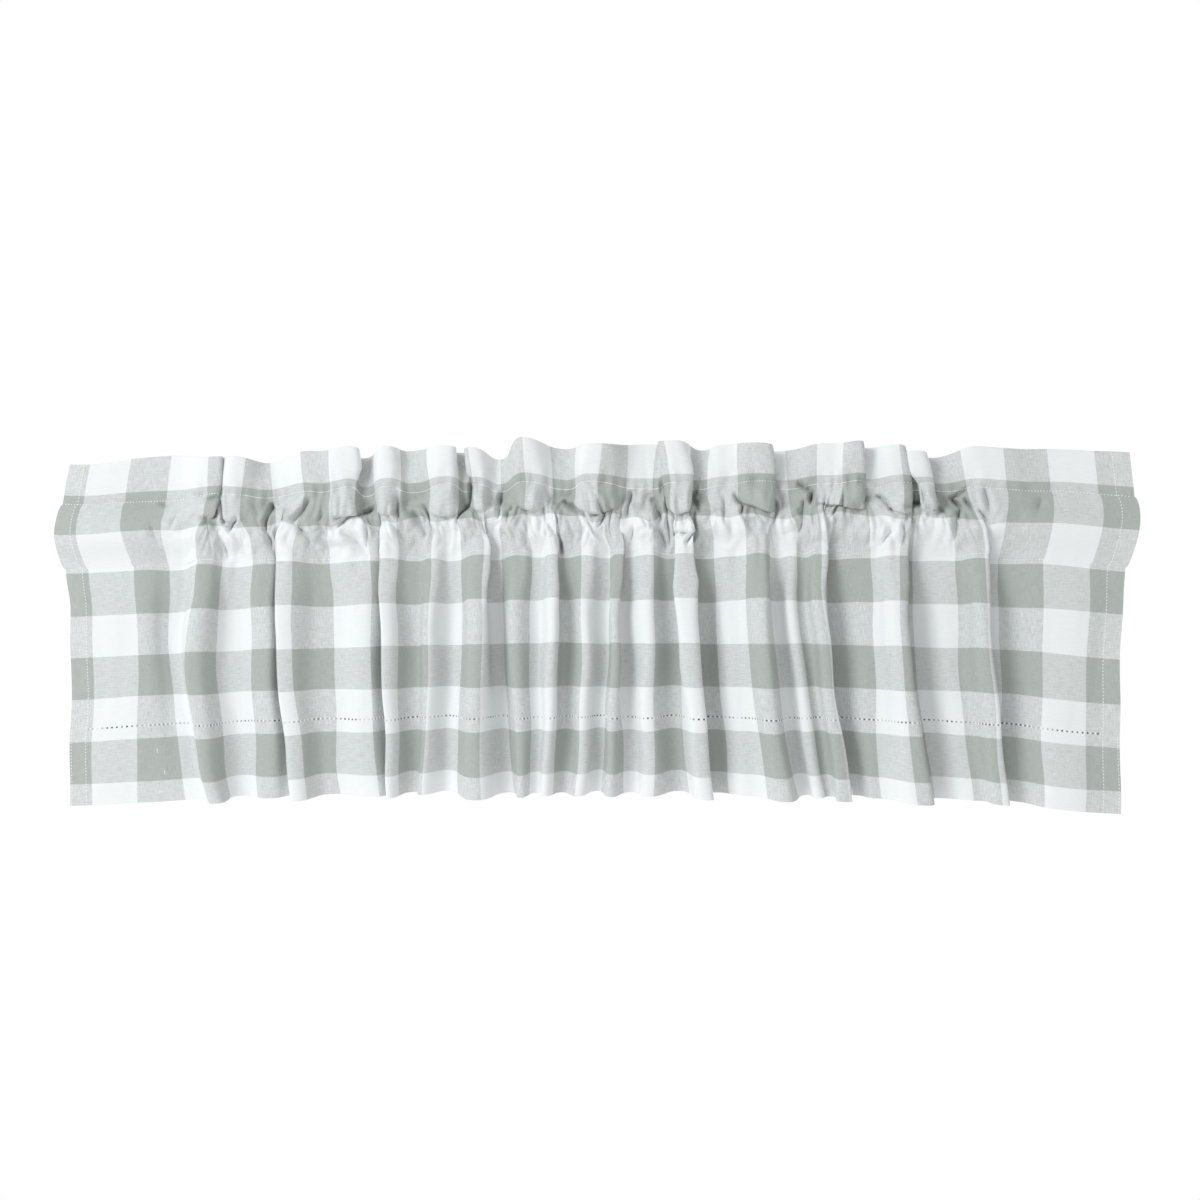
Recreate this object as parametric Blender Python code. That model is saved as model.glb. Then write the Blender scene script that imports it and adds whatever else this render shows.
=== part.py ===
"""A window valance of woven buffalo check, in the folds in which it hangs.

The cloth is one width, turned over to the back at its top. Two rows of stitches hold the rod pocket,
with the frilled heading above it and the gathered skirt below, down to a deep bottom hem.

X runs along the valance, Z is up, and the face of the cloth looks along -Y. The origin is the middle
of the heading's top edge. Sizes are in millimetres until a mesh is made.
"""

import bmesh
import bpy
import numpy as np

METRES = 0.001

# The cloth as it was cut: widths along the valance, drops measured down from the upper stitches
CHECK_WIDTH = 47.8
SEAM_DROP = 76.0
MIDDLE_DROP = 190.0
HEM_DROP = 328.0
HEADING_RISE = 44.0

# Cloth
SHEET = 1.6
DOUBLE_SHEET = 3.0
SEWN_GAP = 0.3
FOLD_STEPS = 4
CURVE_STEPS = 24

# How a fold swings between two fold lines. A run is the way across for each mm of cloth: below the
# open run the cloth overhangs freely, above the loose run hardly. Swings are in mm for each mm.
OPEN_RUN = 0.25
LOOSE_RUN = 0.45
LOOSE_SWING = 1.7
MOST_SWING = 6.0
ROUNDING = 0.5
STITCH_FREEDOM = 0.1
SEAM_FREEDOM = 0.3

# How the valance hangs
HALF_WIDTH = 566.0
LINE_DROP = 51.2
LEFT_SAG = 14.0
LEFT_SAG_POWER = 1.6
RIGHT_SAG = 12.0
RIGHT_SAG_POWER = 3.0
POCKET_SHRINK = 0.91
END_SHRINK = 0.96
END_START = 430.0
END_FULL = 540.0

# Heading
STITCH_DEPTH_SHARE = 0.35
RISE_PER_DEPTH = 0.6
HEADING_LEVELS = (0.0, 0.35, 0.75, 1.0)
TOP_EDGE_SHARE = 0.55

# Skirt
SEAM_DEPTH_SHARE = 0.45
FULL_DEPTH_DROP = 150.0
HEM_LIFT = 0.2
SKIRT_LEVELS = (76.0, 88.0, 108.0, 140.0, 184.0, 232.0, 280.0, 328.0)

# Rod pocket
POCKET_COLUMNS = 132
POCKET_LEVELS = (0.0, 4.0, 16.0, 38.0, 60.0, 72.0, 76.0)
FRONT_BULGE = 13.0
BACK_BULGE = 17.0
LINE_DEPTH_KEPT = 0.25
BACK_GATHER = 1.5
BACK_GATHER_PITCH = 36.0
MOUTH_FLARE = 9.0
MOUTH_REACH = 140.0

# A fold line is where the cloth turns forward or back on its way across. Depth is how far back it
# lies, less than nothing for a ridge that stands forward. Its place along the flat cloth is counted
# in checks from the left edge, and its places across are from the middle of the valance.
HEADING_COLUMNS = ("flat", "top", "stitch", "depth")
HEADING_FOLDS = (
    (0.0, -552, -560, 0),
    (2.6, -438, -443, 5),
    (3.6, -395, -397, -10),
    (4.4, -391, -393, 10),
    (5.1, -371, -379, -8),
    (6.6, -334, -329, 10),
    (7.8, -290, -287, -2),
    (9.2, -249, -250, -12),
    (10.1, -236, -232, 12),
    (11.0, -208, -210, -10),
    (11.9, -187, -183, 8),
    (13.1, -145, -142, -12),
    (13.9, -130, -125, 9),
    (14.6, -117, -113, -8),
    (15.5, -90, -89, 11),
    (16.5, -64, -61, -12),
    (18.0, -23, -20, 9),
    (19.2, 10, 5, -12),
    (21.3, 67, 66, 12),
    (22.8, 95, 97, -12),
    (24.1, 122, 117, 9),
    (25.0, 141, 141, 0),
    (26.2, 184, 186, -12),
    (27.1, 194, 199, 9),
    (28.8, 252, 250, -3),
    (30.2, 286, 285, -13),
    (30.6, 289, 292, 4),
    (31.5, 325, 330, -11),
    (32.1, 332, 338, 9),
    (33.0, 344, 354, -11),
    (33.7, 357, 367, 9),
    (35.0, 408, 412, -5),
    (36.7, 484, 488, 2),
    (38.24, 558, 563, 0),
)

SKIRT_COLUMNS = ("flat", "flat_hem", "seam", "middle", "hem", "depth", "depth_hem")
SKIRT_FOLDS = (
    (0.0, 0.0, -557, -551, -553, 0, 0),
    (1.6, 1.6, -478, -474, -474, 2, 4),
    (2.75, 2.8, -436, -436, -415, 14, 8),
    (3.65, 3.7, -406, -415, -392, -16, -16),
    (5.0, 5.0, -374, -374, -366, 10, 14),
    (5.9, 6.0, -337, -337, -333, -4, 0),
    (6.5, 6.5, -318, -320, -313, 14, 10),
    (7.2, 7.1, -321, -323, -306, -14, -12),
    (8.4, 8.3, -276, -276, -270, 8, 10),
    (9.4, 9.4, -230, -229, -223, -2, 2),
    (10.4, 10.4, -200, -202, -200, 16, 20),
    (11.1, 11.1, -212, -212, -208, -13, -12),
    (12.0, 12.0, -178, -180, -183, 10, 10),
    (12.5, 12.5, -162, -165, -173, -4, -4),
    (13.1, 13.1, -142, -144, -149, 14, 14),
    (14.4, 14.4, -109, -110, -109, -20, -20),
    (15.3, 15.4, -95, -92, -81, 14, 12),
    (16.1, 16.1, -70, -71, -67, -12, -10),
    (16.7, 16.7, -48, -50, -53, 4, 4),
    (17.3, 17.2, -33, -35, -41, -16, -10),
    (17.9, 17.9, -22, -23, -23, 8, 8),
    (18.6, 18.6, 0, -1, -4, -8, -8),
    (19.4, 19.4, 23, 20, 16, 10, 10),
    (20.0, 20.0, 35, 31, 31, -14, -12),
    (20.6, 20.7, 40, 41, 49, 8, 8),
    (21.3, 21.4, 67, 68, 68, -10, -10),
    (22.2, 22.2, 87, 91, 97, 12, 12),
    (23.1, 23.2, 103, 109, 124, -20, -20),
    (24.2, 24.2, 122, 125, 138, 14, 12),
    (25.0, 25.0, 154, 159, 174, -2, -2),
    (26.1, 26.1, 185, 193, 213, -22, -20),
    (26.8, 26.8, 199, 205, 228, 8, 8),
    (27.3, 27.3, 215, 219, 243, -6, -5),
    (27.8, 27.7, 228, 232, 256, 3, 3),
    (28.4, 28.3, 241, 248, 268, -17, -15),
    (29.4, 29.4, 246, 250, 275, 14, 12),
    (30.4, 30.4, 293, 296, 302, 2, 0),
    (31.4, 31.7, 321, 330, 354, -18, -18),
    (32.4, 32.6, 334, 341, 367, 14, 12),
    (33.4, 33.6, 379, 386, 405, 6, 4),
    (34.4, 34.5, 407, 417, 430, -16, -10),
    (35.2, 35.4, 412, 420, 430, 14, 12),
    (37.0, 37.0, 494, 492, 491, -4, -4),
    (38.24, 38.24, 554, 549, 550, 0, 0),
)

# Furrows of the gathers in the pocket's front wall: their places across half way down, how deep and
# how wide they are, and how far across they lean on the way down.
FURROW_COLUMNS = ("across", "depth", "width", "lean")
FURROWS = (
    (-443, 3, 9, -8),
    (-387, 6, 7, -14),
    (-360, 4, 7, 6),
    (-340, 5, 7, -8),
    (-307, 6, 8, -10),
    (-279, 3, 7, 4),
    (-251, 6, 7, -10),
    (-219, 5, 7, -8),
    (-195, 4, 7, 6),
    (-169, 6, 7, -8),
    (-147, 4, 7, 5),
    (-126, 5, 6, -6),
    (-106, 6, 6, 5),
    (-80, 5, 7, -5),
    (-42, 6, 7, 6),
    (-10, 5, 6, -5),
    (12, 6, 6, 4),
    (42, 5, 7, 5),
    (73, 6, 6, -4),
    (88, 4, 6, 5),
    (113, 6, 7, 6),
    (146, 5, 7, -4),
    (162, 5, 6, 8),
    (198, 6, 7, 8),
    (232, 6, 7, 8),
    (270, 5, 7, 10),
    (305, 6, 7, 8),
    (331, 4, 6, 5),
    (351, 6, 6, 10),
    (382, 5, 7, 12),
    (402, 4, 7, 8),
)

HEADING_COLOUR = (0.66, 0.68, 0.66, 1.0)
POCKET_COLOUR = (0.60, 0.62, 0.60, 1.0)
SKIRT_COLOUR = (0.70, 0.72, 0.70, 1.0)


def columns(names, rows):
    """A table as one array for each named column."""
    return dict(zip(names, np.array(rows, dtype=float).T))


def ease(start, end, value):
    """A smooth rise from 0 at start to 1 at end."""
    share = np.clip((value - start) / (end - start), 0.0, 1.0)
    return share * share * (3.0 - 2.0 * share)


def through_heights(table, drop):
    """A skirt fold line's place across at a drop, on one curve through its three heights."""
    low, mid, high = SEAM_DROP, MIDDLE_DROP, HEM_DROP
    return (
        table["seam"] * (drop - mid) * (drop - high) / ((low - mid) * (low - high))
        + table["middle"] * (drop - low) * (drop - high) / ((mid - low) * (mid - high))
        + table["hem"] * (drop - low) * (drop - mid) / ((high - low) * (high - mid))
    )


def fold_curve(flat, across, depth, freedom):
    """The level cut through the cloth: flat place, across and depth along one smooth curve.

    The curve runs straight along the valance at each fold line and swings from one to the next. Where
    the lines stand close together it swings out past them, as far as its freedom lets it use up the
    flat cloth between them, so that the fold overhangs as cloth does.
    """
    t = np.linspace(0.0, 1.0, CURVE_STEPS + 1)
    glide = t * t * (3.0 - 2.0 * t)
    swing = t * (1.0 - t) * (1.0 - 2.0 * t)
    cloth = np.diff(flat)
    run = np.diff(across)
    turn = np.diff(depth)
    low = np.zeros_like(cloth)
    high = MOST_SWING * cloth
    for _ in range(30):
        reach = 0.5 * (low + high)
        x = run[:, None] * glide + reach[:, None] * swing
        y = turn[:, None] * glide
        length = np.hypot(np.diff(x, axis=1), np.diff(y, axis=1)).sum(axis=1)
        low = np.where(length > cloth, low, reach)
        high = np.where(length > cloth, reach, high)
    crowded = 1.0 - ease(OPEN_RUN, LOOSE_RUN, run / cloth)
    most = LOOSE_SWING * np.maximum(run, 0.0) + MOST_SWING * freedom * cloth * crowded
    reach = np.maximum(np.minimum(reach, most), np.maximum(run, ROUNDING * cloth))
    x = across[:-1, None] + run[:, None] * glide + reach[:, None] * swing
    y = depth[:-1, None] + turn[:, None] * glide
    step = np.hypot(np.diff(x, axis=1), np.diff(y, axis=1))
    walked = np.concatenate([np.zeros((len(cloth), 1)), np.cumsum(step, axis=1)], axis=1)
    place = flat[:-1, None] + cloth[:, None] * walked / walked[:, -1:]
    return (
        np.append(place[:, :-1].ravel(), flat[-1]),
        np.append(x[:, :-1].ravel(), across[-1]),
        np.append(y[:, :-1].ravel(), depth[-1]),
    )


def cloth_line(flat, across, depth, freedom, places):
    """Points at the given flat places along a level cut: across and depth."""
    place, x, y = fold_curve(flat, across, depth, freedom)
    return np.interp(places, place, x), np.interp(places, place, y)


def heading_line(share, places):
    """The heading cut level at a share of its rise above the upper stitches."""
    table = columns(HEADING_COLUMNS, HEADING_FOLDS)
    across = table["stitch"] + (table["top"] - table["stitch"]) * share
    depth = table["depth"] * (STITCH_DEPTH_SHARE + (1.0 - STITCH_DEPTH_SHARE) * share)
    freedom = STITCH_FREEDOM + (1.0 - STITCH_FREEDOM) * share
    return cloth_line(table["flat"] * CHECK_WIDTH, across, depth, freedom, places)


def skirt_flats(drop):
    """Where the skirt's fold lines run along the flat cloth at a drop."""
    table = columns(SKIRT_COLUMNS, SKIRT_FOLDS)
    share = (drop - SEAM_DROP) / (HEM_DROP - SEAM_DROP)
    return CHECK_WIDTH * (table["flat"] + (table["flat_hem"] - table["flat"]) * share)


def skirt_line(drop, places):
    """The skirt cut level at a drop."""
    table = columns(SKIRT_COLUMNS, SKIRT_FOLDS)
    fade = ease(MIDDLE_DROP, HEM_DROP, drop)
    share = ease(SEAM_DROP, FULL_DEPTH_DROP, drop)
    opened = SEAM_DEPTH_SHARE + (1.0 - SEAM_DEPTH_SHARE) * share
    freedom = SEAM_FREEDOM + (1.0 - SEAM_FREEDOM) * share
    depth = opened * (table["depth"] + (table["depth_hem"] - table["depth"]) * fade)
    return cloth_line(skirt_flats(drop), through_heights(table, drop), depth, freedom, places)


def line_height(across):
    """The height of the upper stitches, which sag towards both ends."""
    left = LEFT_SAG * (np.maximum(-across, 0.0) / HALF_WIDTH) ** LEFT_SAG_POWER
    right = RIGHT_SAG * (np.maximum(across, 0.0) / HALF_WIDTH) ** RIGHT_SAG_POWER
    return -LINE_DROP - left - right


def hang_height(across, drop):
    """The height of a point at a drop below the upper stitches.

    The gathers draw the pocket up a little, and less so near its ends, where it is nearly smooth.
    """
    shrink = POCKET_SHRINK + (END_SHRINK - POCKET_SHRINK) * ease(END_START, END_FULL, np.abs(across))
    return line_height(across) - np.minimum(drop, SEAM_DROP) * shrink - np.maximum(drop - SEAM_DROP, 0.0)


def offset_sides(x, y, thick):
    """The front and back lines of a sheet of a given thickness along a level cut."""
    run = np.gradient(x)
    turn = np.gradient(y)
    size = np.maximum(np.hypot(run, turn), 1e-9)
    nx = turn / size * thick / 2.0
    ny = -run / size * thick / 2.0
    return (x + nx, y + ny), (x - nx, y - ny)


def rings_from(front, back):
    """One ring of points for each column: down the front levels and up the back ones."""
    levels = list(front) + list(back[::-1])
    return np.stack([np.stack(level, axis=1) for level in levels], axis=1) * METRES


def new_object(name, bm, colour, collection):
    """Close a lofted bmesh into an object with its own cloth material."""
    bmesh.ops.triangulate(bm, faces=bm.faces[:])
    bmesh.ops.recalc_face_normals(bm, faces=bm.faces[:])
    mesh = bpy.data.meshes.new(name)
    bm.to_mesh(mesh)
    bm.free()
    material = bpy.data.materials.new(name + "_cloth")
    material.use_nodes = True
    shader = material.node_tree.nodes["Principled BSDF"]
    shader.inputs["Base Color"].default_value = colour
    shader.inputs["Roughness"].default_value = 0.9
    shader.inputs["Metallic"].default_value = 0.0
    mesh.materials.append(material)
    mesh.shade_smooth()
    mesh.set_sharp_from_angle(angle=0.9)
    piece = bpy.data.objects.new(name, mesh)
    collection.objects.link(piece)
    return piece


def loft(bm, rings):
    """Skin closed rings of points, one after another along the cloth."""
    grid = [[bm.verts.new(point) for point in ring] for ring in rings]
    for here, there in zip(grid, grid[1:]):
        for i, vert in enumerate(here):
            j = (i + 1) % len(here)
            bm.faces.new((vert, here[j], there[j], there[i]))
    return grid


def close_end(bm, ring):
    """Close the side edge of a sheet between its front and back levels."""
    last = len(ring) - 1
    for i in range(len(ring) // 2 - 1):
        bm.faces.new((ring[i], ring[i + 1], ring[last - i - 1], ring[last - i]))


def close_mouth(bm, outer, inner):
    """Close the wall's edge round an open end of the pocket, and leave the end itself open."""
    half = len(outer) // 2
    last = len(outer) - 1
    side = len(inner) // 2
    tail = len(inner) - 1
    bm.faces.new((outer[1], outer[0], outer[last], outer[last - 1], inner[tail], inner[0]))
    bm.faces.new((outer[half - 2], outer[half - 1], outer[half], outer[half + 1], inner[side], inner[side - 1]))
    for i in range(side - 1):
        bm.faces.new((outer[i + 1], outer[i + 2], inner[i + 1], inner[i]))
        bm.faces.new((outer[last - 1 - i], outer[last - 2 - i], inner[tail - 1 - i], inner[tail - i]))


def sheet_object(name, sides, colour, collection):
    """A sheet as one closed solid, from the front and back lines of its levels."""
    bm = bmesh.new()
    grid = loft(bm, rings_from([side[0] for side in sides], [side[1] for side in sides]))
    close_end(bm, grid[0])
    close_end(bm, grid[-1])
    return new_object(name, bm, colour, collection)


def stepped(flats):
    """The flat places of the columns: each stretch between fold lines in equal steps."""
    steps = np.arange(FOLD_STEPS) / FOLD_STEPS
    return np.append((flats[:-1, None] + np.diff(flats)[:, None] * steps).ravel(), flats[-1])


def build_heading(collection):
    """The frilled heading: two layers of cloth, with a rounded fold along the top."""
    places = stepped(columns(HEADING_COLUMNS, HEADING_FOLDS)["flat"] * CHECK_WIDTH)
    _, top_depth = heading_line(1.0, places)
    rise = HEADING_RISE - RISE_PER_DEPTH * top_depth
    sides = []
    for share in HEADING_LEVELS:
        x, y = heading_line(share, places)
        z = line_height(x) + np.maximum(rise * share, SEWN_GAP / 2.0)
        thick = DOUBLE_SHEET * (TOP_EDGE_SHARE if share == 1.0 else 1.0)
        front, back = offset_sides(x, y, thick)
        sides.append(((*front, z), (*back, z)))
    return sheet_object("heading", sides[::-1], HEADING_COLOUR, collection)


def build_skirt(collection):
    """The skirt: one layer of cloth in its folds, from the lower seam to the hem."""
    sides = []
    for drop in SKIRT_LEVELS:
        x, y = skirt_line(drop, stepped(skirt_flats(drop)))
        lift = HEM_LIFT * y * (drop - SEAM_DROP) / (HEM_DROP - SEAM_DROP)
        z = hang_height(x, drop) + lift
        if drop == SEAM_DROP:
            z = z - SEWN_GAP / 2.0
        front, back = offset_sides(x, y, SHEET)
        sides.append(((*front, z), (*back, z)))
    return sheet_object("skirt", sides, SKIRT_COLOUR, collection)


def pocket_centre(drop, places):
    """The line half way between the pocket's walls: from the upper stitches to the lower seam."""
    top_x, top_y = heading_line(0.0, places)
    seam_x, seam_y = skirt_line(SEAM_DROP, places)
    share = ease(0.0, SEAM_DROP, drop)
    x = top_x + (seam_x - top_x) * share
    y = top_y + (seam_y - top_y) * share
    from_end = HALF_WIDTH - np.abs(x)
    flare = MOUTH_FLARE * pocket_fullness(drop) * np.exp(-((np.maximum(from_end, 0.0) / MOUTH_REACH) ** 2))
    return x + np.sign(x) * flare, y


def pocket_fullness(drop):
    """How far the pocket stands open at a drop, from 0 at a row of stitches to 1 half way."""
    return np.sqrt(max(np.sin(np.pi * drop / SEAM_DROP), 0.0))


def furrow_depth(x, drop):
    """How far the gathers draw the front wall back at a place."""
    table = columns(FURROW_COLUMNS, FURROWS)
    place = table["across"] + table["lean"] * (drop / SEAM_DROP - 0.5)
    away = (x[:, None] - place) / table["width"]
    return (table["depth"] * np.exp(-(away**2))).max(axis=1)


def pocket_level(drop, places):
    """The front and back walls at a drop: front, front inside, back inside and back lines."""
    x, y = pocket_centre(drop, places)
    z = hang_height(x, drop)
    if drop == POCKET_LEVELS[0]:
        z = z - SEWN_GAP / 2.0
    if drop == POCKET_LEVELS[-1]:
        z = z + SEWN_GAP / 2.0
    full = pocket_fullness(drop)
    if full < 0.01:
        front, back = offset_sides(x, y, DOUBLE_SHEET)
        return (*front, z), None, None, (*back, z)
    kept = y * (1.0 - (1.0 - LINE_DEPTH_KEPT) * full)
    gather = BACK_GATHER * np.sin(2.0 * np.pi * x / BACK_GATHER_PITCH)
    front, inside = offset_sides(x, kept - full * (FRONT_BULGE - furrow_depth(x, drop)), SHEET)
    lining, back = offset_sides(x, kept + full * (BACK_BULGE + gather), SHEET)
    return (*front, z), (*inside, z), (*lining, z), (*back, z)


def build_pocket(collection):
    """The rod pocket: an open tube between the two stitch lines, gathered in front."""
    cloth_width = HEADING_FOLDS[-1][0] * CHECK_WIDTH
    places = np.linspace(0.0, cloth_width, POCKET_COLUMNS + 1)
    levels = [pocket_level(drop, places) for drop in POCKET_LEVELS]
    inner = levels[1:-1]
    bm = bmesh.new()
    skin = loft(bm, rings_from([level[0] for level in levels], [level[3] for level in levels]))
    hollow = loft(bm, rings_from([level[1] for level in inner], [level[2] for level in inner]))
    close_mouth(bm, skin[0], hollow[0])
    close_mouth(bm, skin[-1], hollow[-1])
    return new_object("rod_pocket", bm, POCKET_COLOUR, collection)


def clear_scene():
    """Remove whatever the open file holds."""
    for item in list(bpy.data.objects):
        bpy.data.objects.remove(item, do_unlink=True)


def build_valance():
    """Make the heading, the pocket and the skirt in one collection."""
    clear_scene()
    collection = bpy.data.collections.new("window_valance")
    bpy.context.scene.collection.children.link(collection)
    build_heading(collection)
    build_pocket(collection)
    build_skirt(collection)


build_valance()
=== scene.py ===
"""The looks of a window valance of woven buffalo check.

The cloth is laid out flat in its own width and drop, and each point of it is then moved to where it
hangs: first in its main folds, then in the gathers and creases about the pocket. The stitches follow
the finished cloth. Sizes of the cloth are in millimetres, and those of yarns, threads and the stage
in metres, as in the panel.
"""

import bmesh
import bpy
import numpy as np
from mathutils import Matrix, Vector, noise


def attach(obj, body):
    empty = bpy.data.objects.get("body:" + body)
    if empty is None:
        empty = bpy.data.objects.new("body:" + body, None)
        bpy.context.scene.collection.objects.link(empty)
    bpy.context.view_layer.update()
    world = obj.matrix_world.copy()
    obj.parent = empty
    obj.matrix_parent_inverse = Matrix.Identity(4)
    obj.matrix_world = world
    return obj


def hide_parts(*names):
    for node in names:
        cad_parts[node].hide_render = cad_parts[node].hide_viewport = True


bl_info = {
    "name": "Window Valance",
    "version": (1, 0, 0),
    "blender": (4, 5, 0),
    "location": "3D View > Sidebar > Valance",
    "description": "Builds the cloth, the stitches and the stage of a gathered buffalo check valance",
    "category": "Object",
}

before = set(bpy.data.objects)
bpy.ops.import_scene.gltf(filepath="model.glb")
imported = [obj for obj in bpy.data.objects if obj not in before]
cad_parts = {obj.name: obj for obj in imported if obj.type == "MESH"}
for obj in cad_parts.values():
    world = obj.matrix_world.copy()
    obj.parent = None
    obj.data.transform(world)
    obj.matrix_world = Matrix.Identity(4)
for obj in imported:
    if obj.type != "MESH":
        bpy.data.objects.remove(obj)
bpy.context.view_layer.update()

METRES = 0.001

# The cloth as it was cut: widths along the valance, drops measured down from the upper stitches. The
# heading's drops are negative. At the back drop the turned-over cloth is at those stitches again.
CHECK_WIDTH = 47.8
CHECK_HEIGHT = 45.0
CLOTH_WIDTH = 38.24 * CHECK_WIDTH
GREY_ROW_MIDDLE = 13.0
SEAM_DROP = 76.0
MIDDLE_DROP = 190.0
HEM_DROP = 328.0
HEMSTITCH_DROP = 247.0
HEMSTITCH_PITCH = 5.3
HEADING_RISE = 44.0
BACK_DROP = -2.0 * HEADING_RISE
SIDE_HEM = 19.0

# How a fold swings between two fold lines. A run is the way across for each mm of cloth: below the
# open run the cloth overhangs freely, above the loose run hardly. Swings are in mm for each mm.
CURVE_STEPS = 24
REACH_HALVINGS = 30
OPEN_RUN = 0.25
LOOSE_RUN = 0.45
LOOSE_SWING = 1.7
MOST_SWING = 6.0
ROUNDING = 0.5
STITCH_FREEDOM = 0.35
SEAM_FREEDOM = 0.4

# How the valance hangs
HALF_WIDTH = 566.0
LINE_DROP = 51.2
LEFT_SAG = 17.0
LEFT_SAG_POWER = 1.6
RIGHT_SAG = 13.4
RIGHT_SAG_POWER = 3.0
POCKET_SHRINK = 0.91
LEFT_SHRINK = 0.92
RIGHT_SHRINK = 0.96
END_START = 430.0
END_FULL = 540.0

# The heading's two layers, and how much of its folds' depth is left at the stitches
STITCH_DEPTH_SHARE = 0.5
FOLD_RADIUS = 1.2
LAYER_GAP = 0.9
LAYER_PUFF = 1.2

# The pocket's two walls, the back one with flatter folds, and its open ends
FRONT_BULGE = 9.0
BACK_BULGE = 15.0
BACK_FLATTER = 0.7
WALL_GAP = 2.5
MOUTH_FLARE = 8.0
MOUTH_REACH = 140.0

# The heading's ridges run on over the pocket. Each swells and ends in a lip that droops.
RIDGE_SWELL = 0.9
RIDGE_FULL = 14.0
RIDGE_START = 17.0
RIDGE_END = 28.0
RIDGE_DROOP = 1.7
DROOP_MIDDLE = 20.0
DROOP_REACH = 6.0

# Creases: what one step of depth or width in their table stands for, their form, the shoulder that
# swells beside each, and how far it pinches the cloth together
CREASE_DEPTH = 1.9
CREASE_WIDTH = 0.62
CREASE_TAPER = 0.5
CREASE_POINT = 0.5
SHOULDER = 0.35
SHOULDER_PLACE = 2.6
PINCH = 0.7

# How far the rows of stitches lift and sink the cloth, and how far off their gathers reach
STITCH_LIFT = 0.8
STITCH_LIFT_REACH = 16.0
STITCH_DIP = 0.45
SEAM_DIP = 0.2
STITCH_DIP_REACH = 2.6
STITCH_WAVE_REACH = 60.0
BY_STITCHES = 13.0
ABOVE_SEAM = 20.0
BELOW_SEAM = 30.0

# The gathers are calmer at both ends, and the valleys between their puffs lie back
CALM_START = 370.0
CALM_END = 470.0
END_CALM = 0.25
VALLEY_SHARE = 0.2

# Chance unevenness: how far it moves the cloth, the width and height of its swells, and its seed
RIDGE_END_WAVE = (7.0, 60.0, 100.0, 19.0)
STITCH_LINE_WAVE = (5.0, 75.0, 100.0, 51.0)
STITCH_RIPPLE = (4.0, 13.0, 30.0, 8.0)
SEAM_GATHER = (2.6, 27.0, 90.0, 5.0)
SEAM_RIPPLE = (1.5, 12.0, 60.0, 3.0)
POCKET_PUFF = (16.0, 30.0, 34.0, 21.0)
POCKET_PUCKER = (8.0, 13.0, 20.0, 23.0)
POCKET_ROW_WAVE = (12.0, 36.0, 50.0, 27.0)
POCKET_SIDE_WAVE = (9.0, 40.0, 36.0, 29.0)
HEADING_WAVE = (0.8, 30.0, 40.0, 31.0)
BACK_FOLD = (9.0, 26.0, 70.0, 41.0)
BACK_RIPPLE = (3.0, 11.0, 40.0, 43.0)
SKIRT_WAVE = (1.5, 34.0, 120.0, 11.0)
SKIRT_RIPPLE = (0.7, 14.0, 70.0, 13.0)
FOLD_LINE_WAVE = (5.0, 90.0, 75.0, 15.0)
SKIRT_ROW_WAVE = (2.0, 80.0, 90.0, 16.0)

# The skirt's folds are shallower at the lower stitches, and its own swells start below them. Its checks
# ride up on its ridges, which hang lower at the hem.
SEAM_DEPTH_SHARE = 0.45
FULL_DEPTH_DROP = 150.0
SWELL_REACH = 40.0
HEM_LIFT = 0.2
ROW_LIFT = 0.4

# A fold line is where the cloth turns forward or back on its way across. Depth is how far back it
# lies, negative for a ridge that stands forward. Its place along the flat cloth is counted
# in checks from the left edge, and its places across are from the middle of the valance.
HEADING_COLUMNS = ("flat", "top", "stitch", "depth", "rise")
HEADING_FOLDS = (
    (0.0, -552, -560, 0, 42),
    (2.6, -438, -443, 5, 46),
    (3.6, -395, -397, -6, 41),
    (4.4, -391, -393, 3, 42),
    (5.1, -371, -379, -8, 43),
    (6.6, -334, -329, 10, 33),
    (7.8, -290, -287, -2, 44),
    (9.2, -249, -250, -12, 47),
    (10.1, -236, -232, 12, 36),
    (11.0, -208, -210, -10, 46),
    (11.9, -187, -183, 8, 41),
    (13.1, -145, -142, -12, 45),
    (13.9, -130, -125, 9, 38),
    (14.6, -117, -113, -8, 42),
    (15.5, -90, -89, 11, 30),
    (16.5, -64, -61, -12, 51),
    (18.0, -23, -20, 9, 39),
    (19.2, 10, 5, -12, 44),
    (21.3, 67, 66, 12, 42),
    (22.8, 95, 97, -12, 48),
    (24.1, 122, 117, 9, 37),
    (25.0, 141, 141, 0, 42),
    (26.2, 184, 186, -12, 44),
    (27.1, 194, 199, 9, 36),
    (28.8, 252, 250, -3, 43),
    (30.2, 286, 285, -13, 46),
    (30.6, 289, 292, 4, 40),
    (31.5, 325, 330, -11, 43),
    (32.1, 332, 338, 9, 33),
    (33.0, 344, 354, -11, 37),
    (33.7, 357, 367, 9, 31),
    (35.0, 408, 412, -5, 44),
    (36.7, 484, 488, 2, 42),
    (38.24, 558, 563, 0, 45),
)

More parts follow.
